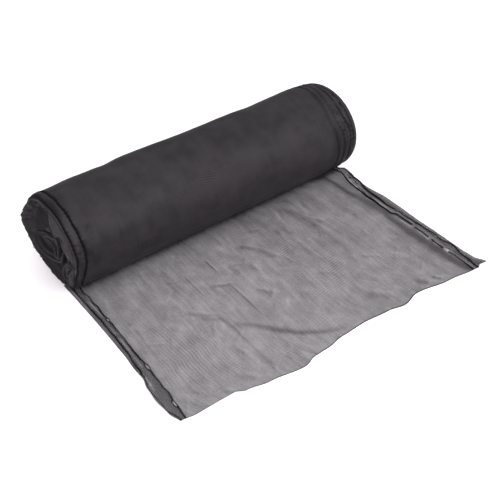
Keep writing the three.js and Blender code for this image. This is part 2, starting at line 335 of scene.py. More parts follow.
stitching = {
    # close ones draw together to a dark beaded line, open ones show the net inside them
    "kinds": {
        "bold": {"pitch": 13, "swing": 1.9, "radius": 1.65},
        "close": {"pitch": 13, "swing": 1.7, "radius": 1.35},
        "fine": {"pitch": 13, "swing": 0.9, "radius": 0.85},
        "open": {"pitch": 12, "swing": 3.2, "radius": 0.45},
    },
    "seed": 7,
    "slack": 0.3,         # share by which a thread is thinner where it is drawn tight, and thicker elsewhere
    "slackRun": 28,
    "slackMost": 1.5,
    "cross": 0.8,         # share of its radius by which a thread rises and dips where the two cross
}


# two threads that cross over and under each other along a path, as a chain stitch looks from above
def chainStitch(path, outward, kind):
    s, stitch = stitching, stitching["kinds"][kind]
    side = unit(np.cross(unit(np.gradient(path, axis=0)), outward))
    run = lengthAlong(path)
    phase = (run / stitch["pitch"] * fullTurn)[:, None]
    slack = unevenness(s["seed"], (run + path[0, 0]) / s["slackRun"])
    slack = np.clip(slack, -s["slackMost"], s["slackMost"])
    radius = (stitch["radius"] * (1 + s["slack"] * slack))[:, None]
    parts = []
    for hand in (1, -1):
        shift = hand * stitch["swing"] * np.sin(phase) * side
        rise = radius * (1 + s["cross"] * hand * np.cos(phase)) * outward
        parts.append(strand(path + (shift + rise), outward, radius[:, None]))
    return parts


# Loose end

looseEnd = {
    "width": 1000,
    "columnStep": 2.5,
    "hemStep": 1.6,       # finer columns over the hems
    "hemWidth": 56,
    "rowStep": 3.6,
    "start": 32,          # reach at which the cloth comes out from under the roll
    "rest": 0.9,          # height of the single cloth's middle above the floor
    "hemGap": 1.5,        # between the two layers of a hem
    # strip turned over at a hem: its columns, the share of its width where they begin and how fast it rises
    "strip": {"columns": 7, "least": 0.08, "steep": 6},
    "tail": 3,            # of the sewing threads beyond the cut edge
    "hemSheer": (0.09, -0.01),   # how much each hem, left and right, is stretched open by its seams
    "hemFade": {"past": 3, "run": 4},   # where that ends, beyond the net turned over
    "liftWidth": 42,      # over which a lifted edge comes down to the floor
    "liftRun": 45,        # reach beyond the roll over which lifts and folds begin
    # how high the cloth stands off the floor, how much that varies and over what lengths
    "ripple": {"seed": 5, "high": 0.8, "swing": 0.6, "x": 40, "reach": 55},
    "sides": table(
        "reach left right leftLift rightLift",
        (40, -494.5, 495, 0, 0), (78, -492.5, 496, 0, 5), (97, -491.5, 508, 0, 8),
        (130, -491, 509, 0, 9), (155, -490, 503, 0, 8), (200, -489, 505, 1, 7), (300, -488, 519, 1, 8),
        (370, -487.5, 523, 0, 7), (420, -490, 524, 0, 7), (460, -489, 526, 2, 8),
        (500, -498, 528, 5, 9), (545, -501, 531, 6, 8), (595, -495, 534, 3, 7), (640, -481, 541, 0, 5),
        (680, -480, 563, 0, 2),
    ),
    # the cut edge, with the radius of the yarn that rolls up along it
    "cut": table(
        "across reach roll",
        (0, 631, 0.6), (45, 637, 0.6), (155, 637, 0.6), (185, 650, 0.7), (245, 662, 0.75),
        (345, 676, 0.75), (392, 663, 0.85), (432, 661, 0.95), (500, 651, 1), (575, 648, 1),
        (655, 655, 1.15), (700, 665, 1.2), (770, 650, 1.25), (865, 667, 1.05), (945, 678, 0.9),
        (963, 680, 0.9), (977, 673, 0.8), (1000, 677, 0.75),
    ),
    "cutStep": 2.0,
    # rows of stitches by their place along X, and the width of net turned over at each edge
    "hems": table(
        "reach left1 left2 right2 right1 leftTurned rightTurned",
        (30, -483, -464, 478, 489, 27, 15), (78, -481.5, -462, 481, 492, 27, 15),
        (100, -481, -461, 486, 504, 27, 15), (165, -478, -460, 474, 500, 28, 16),
        (240, -476, -459, 471, 491, 29, 18), (300, -475, -458, 477, 495, 29, 18),
        (345, -476, -459, 482, 500, 29, 18), (365, -477, -460, 491.5, 503, 29, 16),
        (430, -482, -459, 494.5, 508, 30, 16), (455, -486, -460, 498, 512.5, 30, 17),
        (520, -497, -460, 497, 516.5, 39, 20), (580, -495, -464, 501, 524.5, 34, 22),
        (635, -479, -468, 505, 521, 15, 26), (680, -478, -470, 505, 523, 12, 30),
    ),
    # each row's column above, its stitches and the reach that they start and end at
    "sewing": (
        ("left1", "close", 0, 452), ("left1", "fine", 452, 700), ("left2", "close", 0, 221),
        ("left2", "close", 235, 425), ("left2", "close", 448, 568), ("left2", "close", 591, 700),
        ("right2", "bold", 0, 430), ("right2", "bold", 441, 500), ("right2", "bold", 512, 562),
        ("right2", "close", 580, 700),
        ("right1", "bold", 0, 345), ("right1", "close", 345, 455), ("right1", "bold", 455, 500),
        ("right1", "close", 500, 700),
    ),
    "rowPath": {"end": 690, "step": 1.4, "wander": 0.9, "wanderRun": 14, "lift": 0.3},
    "lineEnds": {"least": 0.35, "run": 0.3},   # every line below fades over this share of it at its ends
    # soft ridges, each along a line
    "folds": table(
        "x1 reach1 x2 reach2 half height",
        (-104, 120, -104, 480, 11, 3.5), (-198, 150, -194, 655, 11, 3.5), (218, 130, 266, 400, 16, 3.5),
        (-150, 445, -85, 520, 24, 8), (-85, 520, 70, 600, 26, 10), (455, 110, 462, 330, 20, 6),
        (20, 190, 80, 320, 24, 4), (150, 545, 250, 605, 22, 6), (300, 575, 375, 630, 20, 6),
        (-330, 170, -322, 420, 26, 3), (-300, 560, -240, 630, 22, 5),
    ),
    # creases, with how much closer the threads lie there and painted shade along them; a paler line of
    # painted light, their lit side, follows on their right, with a share of that and so many half widths
    # away
    "litSide": {"share": 0.5, "away": 1.9},
    "creases": table(
        "x1 reach1 x2 reach2 half gather",
        (-110, 187, -108, 250, 2.5, 0.2), (-106, 320, -103, 470, 2.5, 0.2),
        (-196, 205, -194, 306, 2.5, 0.15), (215, 118, 240, 185, 13, 0.07),
        (240, 178, 264, 373, 12, 0.06), (8, 196, 42, 239, 8, 0.11), (42, 239, 72, 300, 8.5, 0.1),
        (-150, 286, -102, 313, 6, 0.13), (-58, 368, -24, 413, 7, 0.1), (-276, 326, -223, 380, 8, 0.08),
        (-256, 363, -216, 400, 5, 0.06), (-10, 277, -7, 316, 6, 0.09), (-280, 603, -250, 637, 8, 0.1),
        (-339, 352, -330, 380, 10, 0.06), (-419, 374, -383, 392, 5, 0.06),
        (-234, 501, -226, 552, 6, 0.08), (389, 277, 381, 311, 7, 0.08), (352, 355, 349, 382, 8, 0.06),
        (274, 440, 319, 474, 7, 0.06), (186, 572, 234, 624, 11, 0.1), (385, 629, 406, 652, 6, 0.14),
        (334, 614, 362, 643, 8, 0.14), (-333, 177, -325, 345, 18, 0.05), (400, 60, 505, 72, 20, 0.3),
    ),
    # broad soft darker and paler streaks: painted shade and painted light of broad soft wrinkles, where the
    # cloth also lies slacker or tighter
    "streaks": table(
        "x1 reach1 x2 reach2 half gather",
        (90, 95, 150, 235, 24, 0.035), (250, 165, 264, 270, 18, 0.045), (320, 100, 322, 190, 16, 0.045),
        (-210, 228, -145, 238, 16, 0.045), (-282, 285, -280, 330, 14, 0.05),
        (-222, 400, -222, 610, 10, 0.035), (20, 335, 45, 430, 16, -0.035),
        (30, 530, 55, 610, 20, -0.045), (-130, 545, -80, 600, 16, -0.03),
        (250, 300, 262, 345, 14, -0.045), (-340, 285, -325, 430, 14, -0.035),
        (-420, 240, -400, 275, 18, 0.035),
    ),
    # long creases that bend, each with painted shade along it: the trough along the right hem, the one
    # across the front and one on the left
    "runs": (
        table(
            "x reach half gather",
            (426, 66, 5, 0.1), (436, 120, 5, 0.18), (440, 191, 6, 0.26), (453, 252, 8, 0.26),
            (466, 333, 12, 0.19), (472, 434, 15, 0.22), (482, 545, 16, 0.26), (490, 630, 13, 0.25),
            (498, 670, 11, 0.22),
        ),
        table(
            "x reach half gather",
            (-188, 436, 5, 0), (-140, 486, 6, 0.16), (-104, 530, 8, 0.22), (-59, 574, 8, 0.19),
            (-10, 606, 7, 0.13), (30, 626, 7, 0.08), (62, 636, 7, 0),
        ),
        table(
            "x reach half gather",
            (-212, 372, 4, 0), (-204, 405, 4, 0.14), (-196, 454, 4, 0.14), (-194, 560, 3.4, 0.12),
            (-192, 645, 3.4, 0.05),
        ),
    ),
    # how much closer the threads lie over the width of the cloth, at its turned edges and away from the
    # roll;
    # and painted contact shade where the cloth leaves the roll
    "drift": table(
        "x gather",
        (-500, 0.06), (-400, 0.05), (-330, 0.03), (-100, 0.03), (140, 0.058), (500, 0.072),
    ),
    "edge": {"half": 1.8, "gather": 0.32},
    "spread": {"from": 110, "run": 90, "gather": 0.034},
    "contactShade": {"at": 50, "half": 26, "gather": 0.42, "clear": 60},
    # places beside the stitches where the net is drawn open
    "slits": table(
        "x1 reach1 x2 reach2 half gather",
        (491, 100, 480, 165, 1.5, -0.8), (480, 165, 477, 232, 1.5, -0.8),
        (-486.5, 60, -485.5, 175, 3, -0.2), (-485.5, 150, -484, 400, 3, -0.08),
        (489, 180, 484, 240, 1.6, -0.4), (486, 262, 490, 332, 1.8, -0.36),
        (486.5, 386, 490.5, 434, 1.5, -0.36), (492, 448, 494, 482, 1.5, -0.34),
        (504, 400, 506, 428, 1.5, -0.4), (494, 480, 491.5, 506, 1.5, -0.4),
        (495, 522, 495.5, 550, 1.5, -0.42), (502, 562, 505, 586, 2.2, -0.6),
        (514, 560, 516, 590, 1.5, -0.4), (516, 600, 518, 640, 1.7, -0.4),
        (-481, 462, -487, 518, 1.5, -0.55), (-482, 424, -486, 448, 2, -0.4),
        (-467, 130, -466, 210, 2.2, -0.25), (-467, 300, -468, 380, 2, -0.22),
        (-468, 215, -467, 295, 1.8, -0.16), (-469, 385, -470, 430, 1.8, -0.16),
    ),
    # loose loops of the rows, with the net open inside them up to a soft rim
    "loopPath": {"points": 40, "lift": 1.2, "rim": 3.5},
    "loops": table(
        "x reach across along open thread",
        (-460, 228, 4, 7.5, -0.25, 1.2), (-459.5, 436, 4.4, 13, -0.16, 1.2),
        (-466.5, 579, 3.5, 13, -0.48, 1.2), (489, 157, 2.6, 17, -0.55, 0.7),
        (477, 214, 2.4, 18, -0.5, 0.7), (477, 262, 2.4, 10, -0.45, 0.7), (513, 514, 2.4, 9, -0.5, 0.7),
        (503.5, 575, 3.2, 9, -0.7, 0.7), (513, 641, 2.8, 8, -0.5, 0.7),
    ),
    # patches where the mesh beats, with the share of its lines along the length and across it
    "beats": table(
        "x reach half along across",
        (114, 284, 48, 0.3, 1), (84, 399, 16, 0.2, 0.8), (190, 418, 46, 0.3, 0.9),
        (152, 486, 38, 0.2, 0.6), (86, 492, 24, 0.2, 0.7), (28, 568, 60, 0.5, 0.3),
        (-103, 609, 50, 0.5, 0.4), (-340, 480, 95, 0.9, 0.1), (-270, 568, 30, 0.3, 0.6),
        (-60, 330, 70, 0.3, 0.3), (330, 500, 70, 0.3, 0.4), (-380, 330, 60, 0.5, 0.1),
    ),
    # small slack wrinkles with no relief of their own, drawn as painted shade, and some as fainter painted
    # light
    "wrinkles": {
        "seed": 21, "count": 130, "x": (-440, 440), "reach": (90, 640), "swing": 55, "length": (18, 62),
        "half": (3.2, 6.5), "gather": 0.042, "shares": (-0.7, 1), "uneven": (0.5, 1.5),
    },
}


# share of a straight stretch at the point of it nearest to each place, and how far the place is from it
def nearStretch(fromX, fromReach, toX, toReach, x, reach):
    spanX, spanReach = toX - fromX, toReach - fromReach
    along = ((x - fromX) * spanX + (reach - fromReach) * spanReach) / (spanX ** 2 + spanReach ** 2)
    along = np.clip(along, 0, 1)
    return along, np.hypot(x - fromX - along * spanX, reach - fromReach - along * spanReach)


# how near places lie to a line: 1 on the line, fading with its half width and at its ends
def nearLine(line, x, reach):
    ends = looseEnd["lineEnds"]
    along, away = nearStretch(line["x1"], line["reach1"], line["x2"], line["reach2"], x, reach)
    fade = ease(ends["least"] + np.minimum(along, 1 - along) / ends["run"])
    return np.exp(-(away / line["half"]) ** 2) * fade


# sum over a table's lines; the lit-side setting adds a weaker opposite line of painted light on the right of
# each
def overLines(lines, column, x, reach, litSide=None):
    total = 0 * x
    for line in eachRow(lines):
        total += line[column] * nearLine(line, x, reach)
        if litSide:
            beside = nearLine(line, x - litSide["away"] * line["half"], reach)
            total -= litSide["share"] * line[column] * beside
    return total


# the same for one long crease that bends, given by the points that it passes
def overRun(run, x, reach):
    nearest, total = np.full(x.shape, np.inf), 0 * x
    points = list(eachRow(run))
    for a, b in zip(points, points[1:]):
        along, away = nearStretch(a["x"], a["reach"], b["x"], b["reach"], x, reach)
        half, gather = (a[c] * (1 - along) + b[c] * along for c in ("half", "gather"))
        total = np.where(away < nearest, gather * np.exp(-(away / half) ** 2), total)
        nearest = np.minimum(nearest, away)
    return total


# lines of painted shade and light for the small slack wrinkles, more of them along the cloth than across it
def seededWrinkleShades():
    s = looseEnd["wrinkles"]
    dice = np.random.default_rng(s["seed"])
    rows = []
    for _ in range(s["count"]):
        x, reach = dice.uniform(*s["x"]), dice.uniform(*s["reach"])
        turn, length = math.radians(dice.normal(0, s["swing"])), dice.uniform(*s["length"])
        half = dice.uniform(*s["half"])
        gather = s["gather"] * dice.choice(s["shares"]) * dice.uniform(*s["uneven"])
        rows.append((x, reach, x + length * math.sin(turn), reach + length * math.cos(turn), half, gather))
    return table("x1 reach1 x2 reach2 half gather", *rows)


# place on the loose end, given how far across the cloth it is from the left edge and its reach
def onCloth(across, reach):
    s, ripple = looseEnd, looseEnd["ripple"]
    sides = {c: readTable(s["sides"], "reach", c, reach) for c in ("left", "right", "leftLift", "rightLift")}
    x = sides["left"] + (sides["right"] - sides["left"]) * across / s["width"]
    lift = sides["leftLift"] * ease(1 - across / s["liftWidth"])
    lift += sides["rightLift"] * ease(1 - (s["width"] - across) / s["liftWidth"])
    lift += overLines(s["folds"], "height", x, reach)
    slack = unevenness(ripple["seed"], x / ripple["x"], reach / ripple["reach"])
    lift += np.maximum(0, ripple["high"] + ripple["swing"] * slack)
    z = s["rest"] + lift * ease((reach - s["start"]) / s["liftRun"])
    return np.stack([x, -reach, z], -1)


def acrossAt(x, reach):
    sides = looseEnd["sides"]
    left, right = readTable(sides, "reach", "left", reach), readTable(sides, "reach", "right", reach)
    return (x - left) / (right - left) * looseEnd["width"]


# how much closer the threads of the loose end lie at each place, or how much wider where it is negative,
# together with painted shade and painted light that darken and lighten the net
def looseGatherAndShade(x, reach, fromEdge):
    s = looseEnd
    gather = overLines(s["creases"], "gather", x, reach, s["litSide"])
    gather += overLines(seededWrinkleShades(), "gather", x, reach, s["litSide"])
    for lines in (s["streaks"], s["slits"]):
        gather += overLines(lines, "gather", x, reach)
    for run in s["runs"]:
        gather += overRun(run, x, reach)
    gather += readTable(s["drift"], "x", "gather", x)
    for loop in eachRow(s["loops"]):
        inside = np.hypot((x - loop["x"]) / loop["across"], (reach - loop["reach"]) / loop["along"])
        gather += loop["open"] * ease(s["loopPath"]["rim"] * (1 - inside))
    # closest at the turned edges, and painted contact shade where the cloth leaves the roll
    edge, spread, contactShade, fade = s["edge"], s["spread"], s["contactShade"], s["hemFade"]
    gather += edge["gather"] * np.exp(-(fromEdge / edge["half"]) ** 2)
    gather += spread["gather"] * ease((reach - spread["from"]) / spread["run"])
    clear = ease((x - s["sides"]["left"][0]) / contactShade["clear"])
    gather += contactShade["gather"] * clear * np.exp(-((reach - contactShade["at"]) / contactShade["half"]) ** 2)
    for side, sheer, here in zip(("leftTurned", "rightTurned"), s["hemSheer"], (x < 0, x > 0)):
        turned = readTable(s["hems"], "reach", side, reach)
        gather -= sheer * here * ease((turned + fade["past"] - fromEdge) / fade["run"])
    return gather


def makeLooseEnd():
    s, strip = looseEnd, looseEnd["strip"]
    width = s["width"]
    rows = int((s["cut"]["reach"].mean() - s["start"]) / s["rowStep"]) + 1
    row = np.linspace(0, 1, rows)[:, None]

    def reachAt(across):
        return s["start"] + (readTable(s["cut"], "across", "reach", across) - s["start"]) * row

    # the single cloth, then the strip turned over at each edge, lying on top of it
    hem = np.arange(0, s["hemWidth"], s["hemStep"])
    columns = int((width - 2 * s["hemWidth"]) / s["columnStep"])
    middle = np.linspace(s["hemWidth"], width - s["hemWidth"], columns)
    single = np.concatenate([hem, middle, width - hem[::-1]])[None, :]
    reach = reachAt(single)
    layers = {"single": (onCloth(single + 0 * row, reach), single + 0 * row, reach)}
    share = np.linspace(1, strip["least"], strip["columns"])[None, :]
    for side, edge, inward, shares in (("left", 0, 1, share), ("right", width, -1, share[:, ::-1])):
        edgeReach = reachAt(np.full_like(shares, edge))
        turned = readTable(s["hems"], "reach", side + "Turned", edgeReach) * shares
        reach = reachAt(edge + inward * turned)
        points = onCloth(edge + inward * turned, reach)
        points[..., 2] += s["hemGap"] * np.minimum(1, strip["steep"] * shares)
        layers[side] = (points, edge - inward * turned, reach)
    grid, u, v = (np.concatenate([layers[k][n] for k in ("left", "single", "right")], 1) for n in range(3))
    piece = addMesh("loose_net", grid.reshape(-1, 3), gridFaces(*u.shape), gridUv(u, v))

    x, reach = grid[..., 0], -grid[..., 1]
    addNumbers(piece, "gather", looseGatherAndShade(x, reach, np.minimum(np.abs(u), np.abs(u - width))))
    for way, column in (("X", "along"), ("Y", "across")):
        beats = 0
        for spot in eachRow(s["beats"]):
            away = np.hypot(x - spot["x"], reach - spot["reach"]) / spot["half"]
            beats += spot[column] * np.exp(-away ** 2)
        addNumbers(piece, "beat" + way, beats)
    return piece


def makeHemStitches():
    s, row, ring = looseEnd, looseEnd["rowPath"], looseEnd["loopPath"]
    reach = np.arange(s["start"], row["end"], row["step"])
    parts = []
    for column, kind, first, last in s["sewing"]:
        wander = row["wander"] * unevenness(len(parts), reach / row["wanderRun"])
        across = acrossAt(readTable(s["hems"], "reach", column, reach) + wander, reach)
        path = onCloth(across, reach)
        path[:, 2] += s["hemGap"] + row["lift"]
        cut = readTable(s["cut"], "across", "reach", across)
        keep = (reach >= first) & (reach < last) & (reach < cut + s["tail"])
        parts += chainStitch(path[keep], upward, kind)
    turn = np.linspace(0, fullTurn, ring["points"])
    for loop in eachRow(s["loops"]):
        reach = loop["reach"] + loop["along"] * np.sin(turn)
        path = onCloth(acrossAt(loop["x"] + loop["across"] * np.cos(turn), reach), reach)
        path[:, 2] += s["hemGap"] + ring["lift"]
        parts.append(strand(path, upward, loop["thread"]))
    return addMesh("hem_stitches", *joined(parts))


# rolled yarn of the cut edge, which stays above the floor
def makeCutEdge():
    s = looseEnd
    across = np.arange(0, s["width"] + 1, s["cutStep"])
    path = onCloth(across, readTable(s["cut"], "across", "reach", across))
    radius = readTable(s["cut"], "across", "roll", across)
    path[:, 2] = np.maximum(path[:, 2], radius)
    return addMesh("cut_edge", *strand(path, upward, radius[:, None, None]))


looseNet = dress(makeLooseEnd(), netMaterial, "loose_end")
hemStitches = dress(makeHemStitches(), threadMaterial, "loose_end")
cutEdge = dress(makeCutEdge(), threadMaterial, "loose_end")
print("loose end laid,", len(looseNet.data.polygons), "faces")


# Roll

roll = {
    "radius": 145,
    "axis": 142,          # height of the axis: the underside is flattened a little by its own weight
    "around": 300,
    "ringStep": 9,
    "endStep": 2,         # closer rings over the hems
    "endFrom": 395,
    "ridgeStep": 0.9,     # and where the edges of single turns show
    "straightFrom": 60,   # rings of a table further apart than this have straight cloth between them
    "smallest": 1,        # radius of a ring
    # unevenness of the cloth: height, length along the roll, bends round it, number of waves, own seed
    "uneven": {
        "slack": (0.4, 70, 2.2, 9, 0), "ripple": (0.14, 21, 7, 14, 4), "pucker": (0.55, 9, 36, 14, 1),
        "crumple": (1.0, 5, 34, 14, 8),
    },
    "hemmed": {"at": 468, "half": 16},   # where the cloth is puckered at both ends
    # outer turns from left to right: place along X, how far the ring lies inside the roll's radius, its
    # share of the sway, and how much the edges of single turns show
    "outer": table(
        "x drop lean ridged",
        (-470, 15, 0.6, 0), (-486, 12, 0.9, 0), (-491, 8.5, 1, 0), (-491, 5, 1, 0), (-488, 2.4, 1, 0),
        (-480, 0.8, 1, 0), (-466, 0.6, 0.9, 0), (-450, 1.4, 0.7, 0), (-435, 0.9, 0.4, 0),
        (-415, 0.2, 0.1, 0), (-390, 0, 0, 0), (-300, 0, 0, 0), (-100, 0, 0, 0), (100, 0, 0, 0),
        (280, 0, 0, 0), (350, 0, 0, 0), (405, 0, 0.1, 0), (430, 0.2, 0.2, 0), (450, 1, 0.4, 0),
        (464, 2.2, 0.65, 0), (478, 4, 0.85, 0), (487, 7, 1, 0), (489, 12, 1, 1), (486, 17, 1, 1),
        (466, 19, 0.5, 0),
    ),
    # turns of the left end, from the floor of its hollow over their ragged rim to the outside
    "left": table(
        "x drop lean ragged ridged",
        (-488, 143, 0, 0, 0), (-488, 100, 0, 0, 0), (-487, 66, 0, 0.1, 0), (-487, 48, 0, 0.4, 0),
        (-489, 37, 0, 0.75, 0), (-493, 31, 0, 0.9, 0), (-496, 28, 0, 1, 0), (-498.5, 25, 0, 1, 0.7),
        (-500, 20.5, 0, 1, 1), (-498.5, 16, 0.1, 1, 1), (-495.5, 12, 0.4, 0.8, 0.8),
        (-491, 9.5, 0.8, 0.3, 0), (-484, 11, 0.9, 0, 0), (-466, 15, 0, 0, 0),
    ),
    # the crumpling of that rim, which is least at the bottom, and how far it stands out at each angle
    "crumpled": {"least": 0.25, "top": 1.2, "out": 1.6},
    "rim": table(
        "angle out",
        (0, -5), (8, -5), (18, -1), (30, 2), (42, -4), (56, 10), (64, 9), (76, -1), (86, -6), (102, -5),
        (118, -1), (135, 9), (153, 17), (168, 21), (184, 21), (200, 15), (217, 13), (235, 7), (255, 2),
        (290, -1), (318, 1), (332, 3), (344, 8), (352, -1), (360, -5),
    ),
    # turns of the right end, from the outside to the middle
    "right": table(
        "x drop lean ridged",
        (462, 19, 0.4, 0), (474, 20, 0.5, 0.6), (471, 26, 0.4, 1), (467, 45, 0.2, 1), (470, 70, 0.1, 1),
        (466, 95, 0, 1), (463, 120, 0, 1), (460, 131, 0, 1), (448, 136, 0, 0), (446, 143, 0, 0),
    ),
    # ridges of single turns, the shade of the left hollow's floor and the unevenness of an end's middle
    "crest": {"round": 0.6, "bends": 1.3, "seed": 2},
    "hollow": {"from": 40, "run": 20, "gather": 0.45},
    "middle": {"from": 35, "run": 20, "high": 3.0, "length": 30, "seed": 3},
    # how far the two ends sway along X from the roll's square ends, the right one leaning to one side
    "leftSway": table(
        "angle out",
        (0, -2), (7, 1), (21, 3), (37, 2), (57, 0), (85, -5), (103, -9), (140, -10), (200, -6), (240, 0),
        (270, 3), (300, 2), (325, -3), (335, -5), (348, -5), (360, -2),
    ),
    "rightSway": 20,
    "rightAngle": 15,
    # how a row's stitches pull the cloth: in beads, wandering, and only on turns with less drop than this
    "pull": {"bead": 0.25, "uneven": 0.12, "wander": 0.6, "bends": 9, "seed": 5, "drop": 10, "fade": 3},
    # rows round the roll, each a groove in the outer turns darkened with painted shade: the stitched rows of
    # the outer turn's own hems, and on the right the hems of the turns below
    "rows": (
        {"half": 4.0, "deep": 4.5, "gather": 0.9, "stitch": "close", "way": table(
            "angle x",
            (0, -461), (7, -456), (21, -454), (37, -455), (57, -458), (85, -462), (103, -466), (140, -467),
            (200, -463), (270, -457), (310, -464), (335, -474), (348, -469), (360, -461),
        )},
        {"half": 3.2, "deep": 3.5, "gather": 0.9, "stitch": "close", "way": table(
            "angle x",
            (0, -486), (12, -482), (34, -483), (48, -484), (61, -484), (75, -487), (90, -491), (118, -494),
            (160, -494), (200, -490), (270, -483), (310, -486), (335, -494), (348, -493), (360, -486),
        )},
        {"half": 5.0, "deep": 2.2, "gather": 0.3, "way": table(
            "angle x",
            (0, 429), (16, 426), (26, 426), (43, 420), (70, 423), (93, 423), (150, 410), (210, 405),
            (300, 425), (360, 429),
        )},
        {"half": 4.5, "deep": 2.6, "gather": 0.38, "way": table(
            "angle x",
            (0, 451), (19, 454), (30, 449), (43, 443), (63, 441), (76, 443), (95, 445), (150, 430),
            (210, 425), (300, 446), (360, 451),
        )},
        {"half": 4.5, "deep": 1.4, "gather": 0.1, "stitch": "open", "way": table(
            "angle x",
            (0, 478), (8, 480), (21, 481), (29, 477), (36, 472), (45, 468), (57, 467), (75, 466),
            (100, 463), (150, 449), (200, 444), (300, 470), (360, 478),
        )},
        {"half": 3.0, "deep": 1.2, "gather": 0.2, "stitch": "open", "way": table(
            "angle x",
            (0, 491), (15, 492), (45, 489), (60, 486), (75, 482), (90, 478), (105, 474), (150, 463),
            (200, 458), (300, 484), (360, 491),
        )},
    ),
    # soft dents of the wound cloth, bulges as negative depths
    "dents": table(
        "x angle length spread depth",
        (-465, 118, 26, 34, -2.5), (-390, 108, 46, 36, -3.5), (-262, 115, 26, 34, 3),
        (-190, 118, 150, 32, -6), (-180, 48, 110, 38, -1.8), (60, 30, 80, 30, 1.6),
        (250, 112, 42, 36, 2.4), (330, 30, 70, 36, -1.5), (400, 112, 50, 40, -2.5),
        (60, 200, 150, 40, 2.2), (-260, 190, 120, 40, -1.8), (-300, 8, 5, 18, 0.9),
        (-250, 16, 5, 18, 0.9), (-476, 78, 9, 20, 3.5), (-500, 132, 16, 24, 8),
    ),
    # patches where two layers of mesh beat
    "beats": table(
        "x angle length spread share",
        (-30, 39, 55, 8, 1), (-140, 31, 60, 9, 0.6), (328, 31, 34, 9, 0.6), (370, 70, 50, 20, 0.2),
        (-300, 70, 80, 25, 0.4), (100, 80, 90, 25, 0.4),
    ),
    # painted shade where these places are darker than the rest, and painted light where they are paler
    "shadeSpots": table(
        "x angle length spread gather",
        (-480, 77, 9, 16, 1), (-481, 24, 6, 12, 0.5), (-470, 16, 10, 10, 0.35), (-446, 17, 9, 9, 0.35),
        (-500, 82, 9, 10, 0.8), (-487, 90, 6, 8, 0.5), (-494, -95, 14, 40, 0.8),
        (-500, -18, 9, 14, 0.5), (-500, 150, 17, 42, 0.45), (-448, 82, 11, 26, 0.25),
        (-436, 6, 16, 14, 0.3), (-470, 42, 9, 22, -0.5), (-474, -8, 14, 16, 0.45),
        (-498, 40, 11, 48, -0.9), (425, 4, 20, 32, 0.5), (468, -6, 24, 20, 0.55),
        (420, 78, 14, 22, 0.3), (0, 113, 900, 17, 0.5), (0, -54, 900, 9, 0.7), (-330, 18, 130, 9, 0.25),
        (120, 78, 330, 22, 0.18), (60, -17, 400, 12, -0.15), (425, -42, 25, 10, 0.4),
        (-492, -50, 20, 16, 0.6), (-488, 118, 4, 30, 0.45), (-488, -50, 4, 25, 0.35),
        (-492, -36, 8, 22, 0.4), (-300, 6, 6, 8, 0.22), (-252, 17, 6, 10, 0.25),
        (-425, -22, 40, 14, 0.4),
    ),
    # puckers and small holes along the left hem, on the ragged rim and on the right hem, drawn as painted
    # shade;
    # some are of the opposite kind, paler painted light, and fainter
    "speckShares": (-0.8, 1),
    "speckUneven": (0.5, 1),
    "specks": (
        {"seed": 4, "count": 22, "x": (-480, -463), "angles": (8, 50), "half": (2.2, 3.8), "gather": 0.9},
        {"seed": 6, "count": 34, "x": (-522, -498), "angles": (70, 230), "half": (2.5, 5), "gather": 0.8},
        {"seed": 12, "count": 60, "x": (444, 492), "angles": (14, 64), "half": (2.0, 3.4), "gather": 0.8},
        {"seed": 9, "count": 26, "x": (-455, -420), "angles": (0, 48), "half": (3, 7), "gather": 0.3},
        {"seed": 15, "count": 46, "x": (462, 496), "angles": (16, 44), "half": (1.5, 2.4), "gather": -1.0},
    ),
    # strips of the innermost turns in the left hollow: the way of each in Y and Z with its free edge's X,
    # and its layers, each with its distance from that way, its thickness and how far it stays back; and the
    # painted shade of each, over all of it and more on its outer side, in the gap beside it
    "curls": (
        {"layers": ((0, 8, 0), (-9, 11, 7)), "ownShade": 0.42, "dark": 0.0, "way": table(
            "y z edge",
            (-74, 162, -492), (-72, 144, -496), (-64, 124, -499), (-47, 106, -501), (-18, 90, -503),
            (20, 76, -504), (52, 73, -505), (82, 82, -506), (100, 94, -505), (106, 106, -502),
            (92, 120, -499), (71, 131, -498), (33, 153, -498), (2, 166, -498), (-25, 177, -498),
            (-44, 186, -499), (-51, 175, -500), (-51, 150, -500), (-48, 128, -499), (-36, 110, -497),
            (-18, 106, -496), (-11, 116, -495), (-5, 125, -494), (7, 129, -493), (34, 124, -491),
        )},
        {"layers": ((0, 11, 0), (12, 20, 4)), "ownShade": 0.45, "dark": 0.0, "way": table(
            "y z edge",
            (-132, 140, -494), (-122, 150, -498), (-104, 142, -502), (-86, 120, -504), (-76, 92, -505),
            (-82, 74, -505), (-100, 76, -504), (-117, 92, -502), (-122, 112, -500),
        )},
        {"layers": ((0, 20, 0),), "ownShade": 0.0, "dark": 1.0, "way": table(
            "y z edge",
            (-62, 228, -489), (-84, 212, -494), (-99, 194, -496), (-106, 174, -496), (-106, 154, -494),
            (-102, 138, -490),
        )},
        {"layers": ((0, 24, 0),), "ownShade": 0.35, "dark": 0.0, "way": table(
            "y z edge",
            (30, 172, -491), (0, 186, -493), (-28, 199, -494), (-54, 203, -494), (-73, 190, -494),
            (-82, 168, -493), (-84, 146, -490),
        )},
    ),
    # the free edge's rounding begins at a shoulder behind it and passes points given in shares of the
    # thickness; the strips wander sideways, in their edge and in their lean, each by height, length and seed
    "curling": {
        "root": -470, "step": 3.0, "between": 20, "shoulder": 14,
        "rounding": ((0.5, 0.49), (0.15, 0.36), (0, 0.12)),
        "wander": ((1.0, 22, 30), (2.4, 18, 40), (1.4, 30, 50)), "seedStep": 5,
        "leanRun": 45, "gapSide": 0.3, "gapRun": 6,
    },
    # stray loops of yarn along the top and the back of the ragged rim
    "frays": {
        "seed": 8, "count": 50, "angles": (60, 250), "x": -498, "inside": (17, 25), "span": (6, 16),
        "rise": (1, 4.5), "tilt": 0.7, "points": 9, "radius": 0.5, "sides": 5, "facing": (-1.0, 0.1, 0.1),
    },
